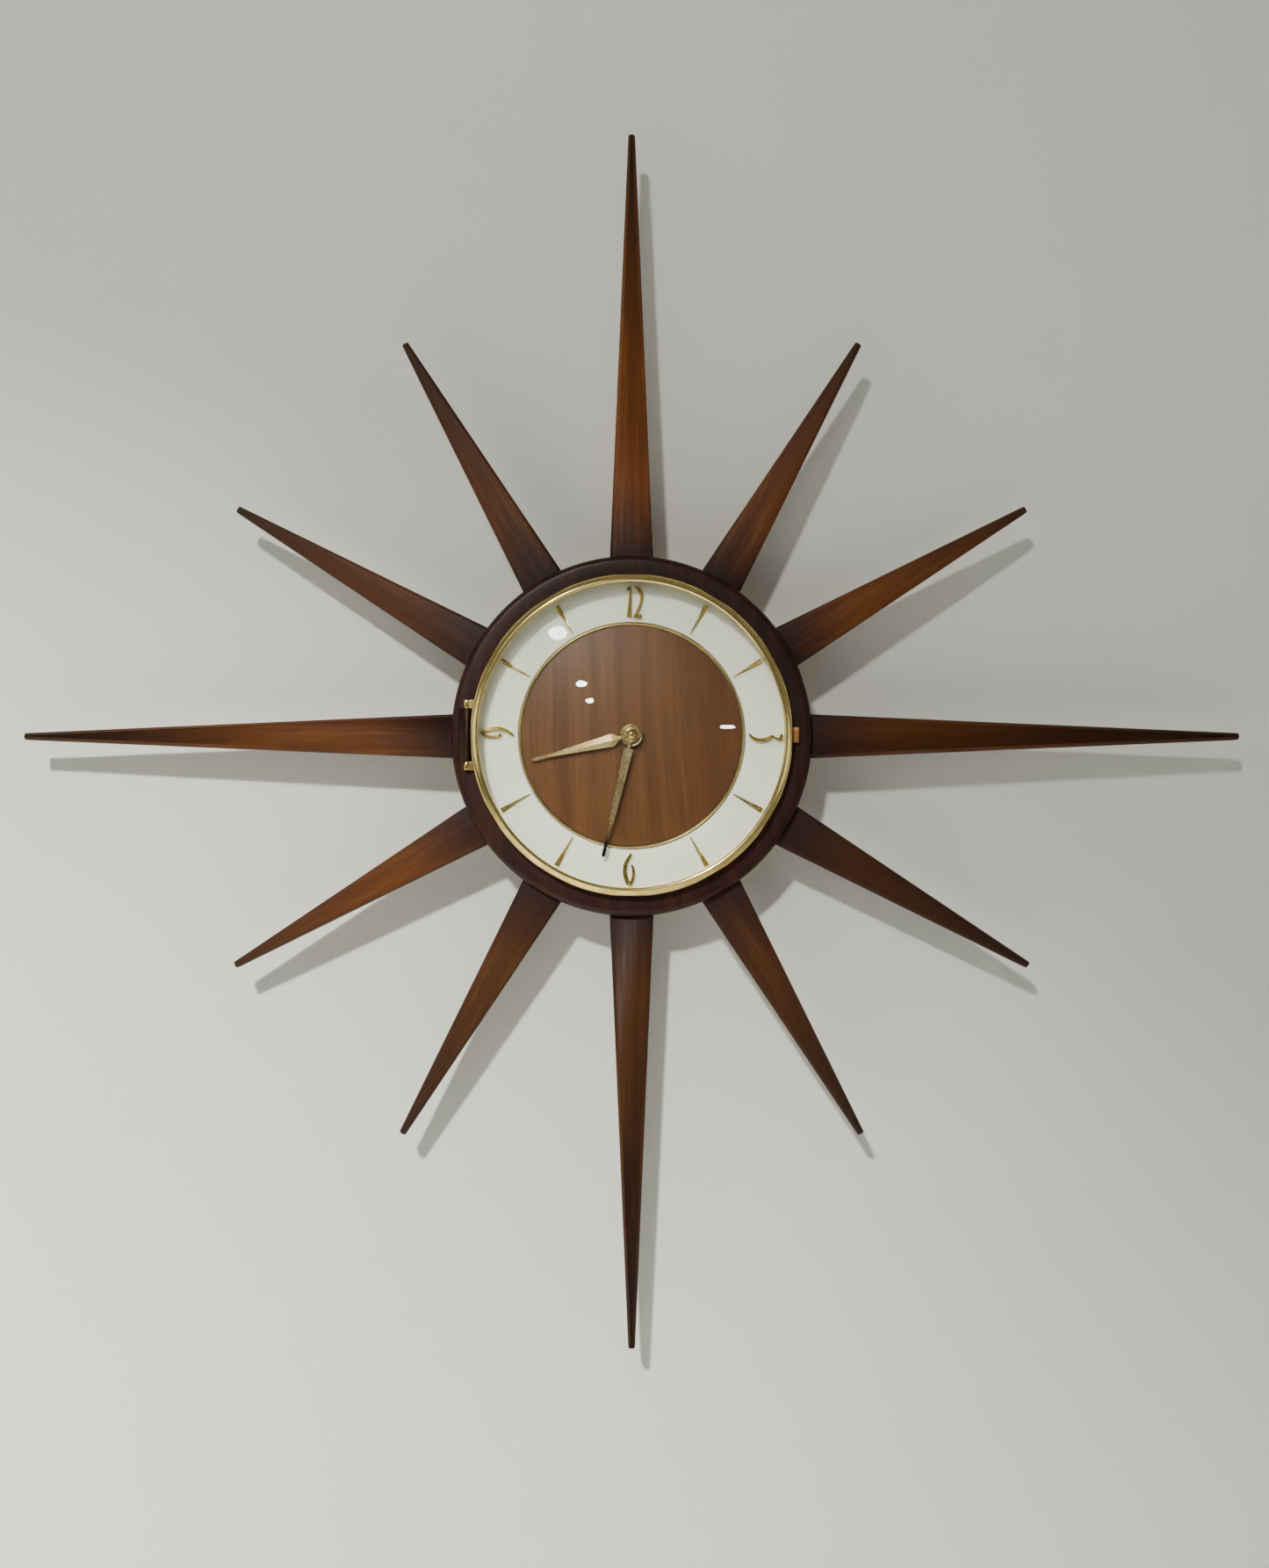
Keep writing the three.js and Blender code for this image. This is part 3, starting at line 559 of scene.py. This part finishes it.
# ---- dial -------------------------------------------------------------------------
def dial():
    """The white ring, the thin brass ring and the veneer centre, with rounded edges."""
    back, front = rises("chapter_ring")
    inner = 63.1 * MM
    profile = [(inner, back), (DIAL_RADIUS, back), (DIAL_RADIUS, front)]
    profile += arc((inner + 0.25 * MM, front - 0.25 * MM), 0.25 * MM, 90, 180, 3)
    smooth(new_object("white_chapter_ring", turned_mesh("white_chapter_ring", profile, 256),
                      LOOKS["dial_white"], "case", ["chapter_ring"]))

    back, front = rises("inset_ring")
    middle, half = 61.95 * MM, 0.65 * MM
    profile = [(middle - half, back), (middle + half, back)]
    profile += arc((middle, front - half), half, 0, 180, 10)
    smooth(new_object("brass_inset_ring", turned_mesh("brass_inset_ring", profile, 256),
                      LOOKS["polished_brass"], "case", ["inset_ring"]))

    back, front = rises("veneer_disc")
    outer = high("veneer_disc").z + 0.5 * MM
    hole = 4.8 * MM
    profile = [(hole, back), (outer, back)]
    profile += arc((outer - 0.2 * MM, front - 0.2 * MM), 0.2 * MM, 0, 90, 3)
    profile += [(hole, front)]
    smooth(new_object("veneer_centre", turned_mesh("veneer_centre", profile, 256),
                      LOOKS["veneer"], "case", ["veneer_disc"]))


dial()


# ---- numerals ---------------------------------------------------------------------
FIGURES = {
    "numeral_12_one": (0, 1.8, [
        [(-2.64, 7.6, 1.6), (-2.55, 4.3, 1.3), (-2.7, 0, 2), (-2.95, -4, 2.2), (-3.2, -8.4, 2.8)],
        [(-2.3, 7.9, 1.5), (-3.3, 7.4, 1.6), (-4.2, 6.4, 1.0)]]),
    "numeral_12_two": (0, 1.8, [
        [(-0.1, 8.3, 0.6), (1.8, 7.3, 2.2), (3.1, 5.6, 2.2), (3.7, 3.2, 1.7), (3.5, 0.6, 1.6),
         (2.7, -2.3, 1.5), (1.3, -5.4, 1.4), (-0.1, -8.2, 1.6)],
        [(-0.7, -8.4, 1.2), (1.4, -8.2, 2.2), (3.9, -8.2, 2.3)]]),
    "numeral_3": (90, 1.2, [
        [(-2.2, -9.2, 0.9), (-0.3, -7.7, 1.7), (1.1, -5.3, 2.1), (1.4, -2.3, 2.3),
         (1.0, 0.4, 2.7), (-0.3, 2.6, 2.3), (-1.3, 3.1, 1.3)],
        [(-0.9, 3.1, 1.3), (0.0, 4.9, 1.3), (0.9, 6.7, 1.7), (0.8, 8.1, 2.3), (-0.7, 8.6, 2.0),
         (-1.9, 8.9, 1.1)]]),
    "numeral_6": (0, -1.5, [
        [(1.36, 9.0, 1.0), (-0.36, 6.1, 1.8), (-1.8, 3.0, 2.3), (-2.3, -0.3, 2.2),
         (-1.9, -3.5, 2.4), (-1.0, -6.3, 2.6), (0.2, -8.0, 2.2), (1.4, -7.0, 1.8),
         (2.3, -4.3, 1.6), (2.55, -1.2, 1.6), (2.2, 1.0, 1.5), (1.4, 2.6, 1.0)]]),
    "numeral_9": (270, 1.6, [
        [(-1.6, -8.8, 1.0), (-0.1, -6.7, 1.5), (1.4, -4.2, 1.8), (2.1, -1.7, 2.1),
         (2.2, 1.3, 2.3), (1.8, 4.7, 2.4), (0.9, 7.2, 2.4), (-0.3, 8.1, 2.2), (-1.5, 7.0, 1.8),
         (-2.1, 4.7, 1.6), (-2.15, 1.3, 1.8), (-1.6, -1.1, 1.8), (-0.5, -1.2, 1.1)]]),
}
DISHED = [(-1, 0), (-1, 0.72), (-0.86, 0.95), (-0.66, 1.0), (-0.40, 0.72), (0, 0.56),
          (0.40, 0.72), (0.66, 1.0), (0.86, 0.95), (1, 0.72), (1, 0)]


def along_curve(points, steps):
    """(across, up, width) and its direction, at even steps along a smooth curve."""
    places = []
    last = len(points) - 1
    for step in range(steps + 1):
        share = step / steps * last
        i = min(int(share), last - 1)
        t = share - i
        a, b, c, d = (Vector(points[min(max(k, 0), last)]) for k in (i - 1, i, i + 1, i + 2))
        place = 0.5 * ((2 * b) + (c - a) * t + (2 * a - 5 * b + 4 * c - d) * t ** 2
                       + (3 * b - a - 3 * c + d) * t ** 3)
        slope = (c - a) + 2 * (2 * a - 5 * b + 4 * c - d) * t + 3 * (3 * b - a - 3 * c + d) * t ** 2
        places.append((place, Vector((slope.x, slope.y)).normalized()))
    return places


def numeral(node):
    """A figure of dished strokes, turned to its place on the dial."""
    turn, across, strokes = FIGURES[node]
    back, front = rises(node)
    centre = -NUMERAL_RADIUS if node == "numeral_6" else NUMERAL_RADIUS  # the 6 is upright
    meshes = []
    for points in strokes:
        rings = []
        for place, way in along_curve(points, 8 * (len(points) - 1)):
            half = place.z / 2
            rings.append([((across + place.x + way.y * half * u) * MM,
                           -(back + (front - back) * h),
                           centre + (place.y - way.x * half * u) * MM)
                          for u, h in DISHED])
        meshes.append(loft_mesh("stroke", rings))
    mesh = joined_mesh(node, meshes)
    mesh.transform(clockwise(turn))
    piece = new_object(f"dished_{node}", mesh, LOOKS["gilt"], "case", [node])
    smooth(piece, 30)


for figure in FIGURES:
    numeral(figure)


# ---- bezel --------------------------------------------------------------------------
def bezel():
    """A spun brass bezel: skirt, flank, rolled front bead and a fine step inside it."""
    outer, sight = BEZEL_RADIUS, BEZEL_SIGHT
    skirt_back, front = rises("bezel_ring")
    profile = [(SEAT_RADIUS, skirt_back), (DIAL_RADIUS, skirt_back), (DIAL_RADIUS, 40.5 * MM)]
    profile += arc((outer - 0.5 * MM, 40.9 * MM), 0.5 * MM, -90, 0, 4)
    profile += arc((outer - 3.4 * MM, front - 4.2 * MM), 3.4 * MM, 0, 62, 12)
    profile += arc((sight + 1.3 * MM, front - 1.3 * MM), 1.3 * MM, 70, 180, 9)
    profile += [(sight, 45.4 * MM), (SEAT_RADIUS, 44.6 * MM)]
    ring = new_object("spun_bezel", turned_mesh("spun_bezel", profile, 256),
                      LOOKS["polished_brass"], "bezel", ["bezel_ring"])
    smooth(ring, 40)


def hinge():
    """The two turned knuckles, each with the lug that holds it to the bezel."""
    half, knuckle, radius = 19.35 * MM, 4.7 * MM, 1.6 * MM
    outline = [2 * math.pi * i / 32 for i in range(32)]
    for name, side in (("upper", 1), ("lower", -1)):
        rings = []
        for share, scale in ((0, 0.86), (0.08, 1), (0.92, 1), (1, 0.86)):
            z = side * (half - knuckle + knuckle * share)
            rings.append([(HINGE_X + radius * scale * math.cos(t), -HINGE_RISE
                           + radius * scale * math.sin(t), z) for t in outline])
        barrel = loft_mesh("barrel", rings)
        z_range = sorted((side * (half - knuckle), side * half))
        lug = box_mesh("lug", (HINGE_X, -86.6 * MM), (41.7 * MM, 43.2 * MM), z_range)
        piece = new_object(f"hinge_knuckle_{name}", joined_mesh("knuckle", [barrel, lug]),
                           LOOKS["polished_brass"], "bezel")
        round_edges(smooth(piece), 0.3 * MM)


bezel()
hinge()


def glass():
    """The shallow dome of the glass."""
    rim, edge, crown, thickness, steps = 84.9 * MM, 43.2 * MM, 4.4 * MM, 1.5 * MM, 24
    radii = [rim * i / steps for i in range(steps + 1)]
    inside = [(r, edge - thickness + crown * (1 - (r / rim) ** 2)) for r in radii]
    outside = [(r, edge + crown * (1 - (r / rim) ** 2)) for r in reversed(radii)]
    piece = new_object("domed_glass", turned_mesh("domed_glass", inside + outside, 128),
                       LOOKS["glass"], "bezel", ["bezel_glass"])
    smooth(piece, 50)


glass()


# ---- hands ---------------------------------------------------------------------------
def bar_mesh(name, stations, section, back):
    """A bar along Z. stations are (distance, half width, relief), and section gives
    (across, height, relief share) points from its left edge to its right edge."""
    rings = []
    for distance, half, relief in stations:
        ring = [(-half * MM, -back * MM, distance * MM)]
        for across, wall, share in section:
            ring.append((across * half * MM, -(back + wall + share * relief) * MM,
                         distance * MM))
        ring.append((half * MM, -back * MM, distance * MM))
        rings.append(ring)
    return loft_mesh(name, rings)


RIDGED = [(-1, 0.15, 0), (-0.12, 0.5, 1), (1, 0.15, 0)]
BEADED = [(-1, 0.40, 0.1), (-0.93, 0.46, 0.45), (-0.80, 0.46, 0.25), (-0.24, 0.46, 0.25),
          (-0.15, 0.46, 0.9), (0, 0.5, 1.15), (0.15, 0.46, 0.9), (0.24, 0.46, 0.25),
          (0.80, 0.46, 0.25), (0.93, 0.46, 0.45), (1, 0.40, 0.1)]


def hour_hand():
    """A ridged, kite-shaped blade with a needle end, on a round boss."""
    back = rises("hour_hand")[0] / MM
    blade = bar_mesh("blade", [
        (4.5, 0.9, 0.1), (6.8, 1.0, 0.1), (10.6, 3.45, 0.85), (11.4, 3.55, 0.9),
        (13.6, 3.35, 0.9), (44.5, 1.0, 0.4), (46.0, 0.85, 0.3), (55.8, 0.85, 0.3),
        (56.3, 0.7, 0.2), (56.6, 0.4, 0.1)], RIDGED, back)
    boss = turned_mesh("boss", [(2.7 * MM, back * MM), (6.15 * MM, back * MM)]
                       + arc((5.75 * MM, (back + 0.6) * MM), 0.4 * MM, 0, 90, 4)
                       + [(5.0 * MM, (back + 0.75) * MM), (2.7 * MM, (back + 0.75) * MM)], 96)
    mesh = joined_mesh("hour_hand", [blade, boss])
    mesh.transform(clockwise(HOUR_TURN))
    piece = new_object("faceted_hour_hand", mesh, hand_gilt("hour_gilt", HOUR_TURN, 0.08),
                       "hour_hand", ["hour_hand"])
    smooth(piece, 14)


def minute_hand():
    """A beaded bar that narrows into a needle, on a round boss."""
    back = rises("minute_hand")[0] / MM
    blade = bar_mesh("blade", [
        (1.8, 0.75, 0.1), (7.4, 0.75, 0.1), (7.7, 2.7, 0.6), (8.4, 2.8, 0.6),
        (50.2, 1.45, 0.6), (51.0, 0.85, 0.45), (56.0, 0.9, 0.4), (67.6, 1.0, 0.4),
        (68.4, 0.8, 0.3), (68.8, 0.4, 0.1)], BEADED, back)
    boss = turned_mesh("boss", [(1.4 * MM, back * MM), (4.4 * MM, back * MM)]
                       + arc((4.0 * MM, (back + 0.5) * MM), 0.4 * MM, 0, 90, 4)
                       + [(1.4 * MM, (back + 0.9) * MM)], 96)
    mesh = joined_mesh("minute_hand", [blade, boss])
    mesh.transform(clockwise(MINUTE_TURN))
    piece = new_object("beaded_minute_hand", mesh, hand_gilt("minute_gilt", MINUTE_TURN, 1.0),
                       "minute_hand", ["minute_hand"])
    smooth(piece, 14)


def hand_gilt(name, turn, darkened):
    """Gilt with fine lines along the hand; the needle's end is darkened."""
    n = Nodes(name)
    place = n.place(turn)
    along = n.split(place)[2]
    lines = n.noise(n.stretch(place, (2600, 2600, 160)), detail=3, roughness=0.7)
    grit = n.noise(n.stretch(place, (1500, 1500, 1500)), detail=4, roughness=0.7)
    clouds = n.noise(n.stretch(place, (150, 150, 60)), detail=3)
    colour = n.mix(n.span(clouds, 0.35, 0.7), (0.56, 0.44, 0.22), (0.36, 0.265, 0.115))
    colour = n.mix(n.span(grit, 0.5, 0.75, 0, 0.5), colour, (0.30, 0.23, 0.11))
    dark = n.span(along, 52 * MM, 60 * MM, 0.0, darkened)
    colour = n.mix(dark, colour, (0.035, 0.028, 0.02))
    n.bump(n.math("ADD", lines, grit), 0.35, 0.0002)
    rough = n.span(grit, 0.3, 0.7, 0.17, 0.32)
    return n.surface(Base_Color=colour, Metallic=1.0, Roughness=rough)


def cap_nut():
    """A thin washer foot under a dome."""
    back, front = rises("cap_nut")
    radius = high("cap_nut").x
    profile = [(0, back), (radius, back)]
    profile += arc((radius - 0.25 * MM, back + 0.5 * MM), 0.25 * MM, 0, 90, 3)
    profile += [(radius - 0.45 * MM, back + 0.75 * MM)]
    dome_base = back + 1.0 * MM
    dome = radius - 0.75 * MM
    height = front - dome_base
    steps = 14
    for i in range(steps + 1):
        t = math.pi / 2 * i / steps
        profile.append((dome * math.cos(t) if i < steps else 0, dome_base + height * math.sin(t)))
    piece = new_object("domed_cap_nut", turned_mesh("domed_cap_nut", profile, 96),
                       LOOKS["polished_brass"], "minute_hand", ["cap_nut"])
    smooth(piece, 40)


hour_hand()
minute_hand()
cap_nut()


# ---- screws -----------------------------------------------------------------------
def screw(x, z, rise, radius):
    """A screw head towards the wall, with a slot cut right across at a random turn."""
    head, crown_share = 0.7 * MM, 0.93
    half_slot = radius * 0.13
    slot_turn = random.uniform(0, 3)
    outline = [2 * math.pi * i / 32 for i in range(32)]
    base = [(radius * math.cos(t), 0.0, radius * math.sin(t)) for t in outline]
    crown = [(crown_share * a, head, crown_share * c) for a, _, c in base]
    groove = box_mesh("groove", (-2 * radius, 2 * radius), (-2 * head, -0.35 * head),
                      (-half_slot, half_slot))
    blank = bpy.data.objects.new("head", loft_mesh("head", [base, crown]))
    bpy.context.collection.objects.link(blank)
    shape = cut_mesh(blank, groove)
    bpy.data.objects.remove(blank)
    shape.transform(Matrix.Translation((x, -rise, z)) @ Matrix.Rotation(slot_turn, 4, "Y"))
    return shape


def backing_screws():
    """One screw through the backing ring behind the root of each ray."""
    rise = rises("backing_ring")[0]
    heads = []
    for hour in range(1, 13):
        turn = math.radians(hour * 30)
        heads.append(screw(RAY_SCREWS_RADIUS * math.sin(turn), RAY_SCREWS_RADIUS * math.cos(turn),
                           rise, 3.1 * MM))
    piece = new_object("backing_screws", joined_mesh("backing_screws", heads),
                       LOOKS["movement_brass"], "case")
    round_edges(smooth(piece), 0.12 * MM, 2)


def cover_screws():
    """Four screws at the corners of the rear cover."""
    heads = [screw(x * MM, z * MM, 0.75 * MM, 2.2 * MM) for x in (-33, 33) for z in (-41, 35)]
    piece = new_object("cover_screws", joined_mesh("cover_screws", heads),
                       LOOKS["steel"], "case")
    round_edges(smooth(piece), 0.1 * MM, 2)


backing_screws()
cover_screws()


# ---- stage, light and camera --------------------------------------------------------
def stage_material(name, colour, see_through=False):
    """Plain paint. A see-through wall hides nothing behind it from a lamp or the camera."""
    n = Nodes(name)
    place = n.place()
    plaster = n.noise(n.stretch(place, (160, 160, 160)), detail=5, roughness=0.6)
    clouds = n.noise(n.stretch(place, (3, 3, 3)), detail=2)
    tone = n.mix(n.span(clouds, 0.3, 0.7), colour, tuple(c * 0.95 for c in colour))
    n.bump(plaster, 0.25, 0.0006)
    n.surface(Base_Color=tone, Roughness=0.9)
    if see_through:
        geometry = n.add("ShaderNodeNewGeometry")
        path = n.add("ShaderNodeLightPath")
        hidden = n.math("MAXIMUM", path.outputs["Is Shadow Ray"], n.math(
            "MULTIPLY", geometry.outputs["Backfacing"], path.outputs["Is Camera Ray"]))
        clear = n.add("ShaderNodeBsdfTransparent")
        n.fade(hidden, n.shader.outputs["BSDF"], clear.outputs["BSDF"])
    return n.material


def stage():
    """A plain pale wall behind the clock, and a plain pale floor below it."""
    wall_y, floor_z, half = 1.0 * MM, -1.05, 2.6
    wall_mesh = bpy.data.meshes.new("wall")
    wall_mesh.from_pydata([(-half, wall_y, floor_z), (half, wall_y, floor_z),
                           (half, wall_y, half), (-half, wall_y, half)], [], [(0, 1, 2, 3)])
    floor_mesh = bpy.data.meshes.new("floor")
    floor_mesh.from_pydata([(-4, -4, floor_z), (4, -4, floor_z), (4, 4, floor_z),
                            (-4, 4, floor_z)], [], [(0, 1, 2, 3)])
    wall = bpy.data.objects.new("wall", wall_mesh)
    floor = bpy.data.objects.new("floor", floor_mesh)
    wall.data.materials.append(stage_material("wall_paint", (0.69, 0.70, 0.655), True))
    floor.data.materials.append(stage_material("floor_paint", (0.62, 0.61, 0.58)))
    for made in (wall, floor):
        bpy.context.collection.objects.link(made)


def lamp(name, place, target, size, power, colour=(1, 1, 1), spread=180, flat=1.0):
    """An area lamp aimed at a point. `spread` is in degrees, `flat` is height over width."""
    light = bpy.data.lights.new(name, "AREA")
    light.spread = math.radians(spread)
    light.shape = "ELLIPSE"
    light.size = size
    light.size_y = size * flat
    light.energy = power
    light.color = colour
    holder = bpy.data.objects.new(name, light)
    holder.location = place
    aim = Vector(target) - Vector(place)
    holder.rotation_euler = aim.to_track_quat("-Z", "Y").to_euler()
    bpy.context.collection.objects.link(holder)


def lights():
    """A ceiling lamp up on the left that favours the lower wall, soft fill, and small far lamps
    whose images show in the glass."""
    lamp("key_low", (-0.48, -1.60, 0.88), (-1.2, 0, -3.0), 0.11, 46, (1.0, 0.985, 0.90), 96)
    lamp("key_wide", (-0.46, -1.58, 0.90), (0.0, 0, 0.0), 0.13, 10.5, (1.0, 0.985, 0.91), 150)
    lamp("left", (-2.3, -1.3, 0.2), (0, 0, 0), 1.2, 5, (1.0, 0.99, 0.93))
    lamp("right", (2.3, -1.3, -0.2), (0, 0, 0), 1.2, 3.5, (1.0, 0.99, 0.93))
    lamp("back", (0.5, 1.7, 0.7), (0, 0, 0), 1.2, 34)
    for number, (across, up, size, flat, power) in enumerate((
            (-0.1150, 0.1700, 0.060, 0.55, 0.62), (-0.0960, 0.1310, 0.042, 0.60, 0.34),
            (-0.1720, 0.2900, 0.105, 0.75, 1.10), (0.2150, 0.0730, 0.085, 0.25, 0.40)), 1):
        way = Vector((across, -1.0, up))
        lamp(f"far_{number}", 2.5 * way, (0, 0, 0), size, power, flat=flat)
    world = bpy.data.worlds.new("room")
    bpy.context.scene.world = world
    world.use_nodes = True
    nodes, links = world.node_tree.nodes, world.node_tree.links
    direction = nodes.new("ShaderNodeTexCoord")
    parts = nodes.new("ShaderNodeSeparateXYZ")
    links.new(direction.outputs["Generated"], parts.inputs[0])
    toward_room = nodes.new("ShaderNodeMapRange")
    links.new(parts.outputs["Y"], toward_room.inputs["Value"])
    for key, value in (("From Min", -0.98), ("From Max", -0.35), ("To Min", 0.07),
                       ("To Max", 0.25)):
        toward_room.inputs[key].default_value = value
    links.new(toward_room.outputs["Result"], nodes["Background"].inputs["Strength"])
    nodes["Background"].inputs["Color"].default_value = (0.98, 1.0, 0.93, 1)


def camera():
    """Looks at the dial from a little below its centre, close to square on."""
    sensor, focal_share, upward = 36, 1590 / 1785, 1.16
    data = bpy.data.cameras.new("camera")
    data.sensor_width = sensor
    data.lens = sensor * focal_share
    holder = bpy.data.objects.new("camera", data)
    holder.location = (0.0016, -0.8095, -0.0425)
    holder.rotation_euler = (math.radians(90 + upward), 0, 0)
    bpy.context.collection.objects.link(holder)
    bpy.context.scene.camera = holder


stage()
lights()
camera()
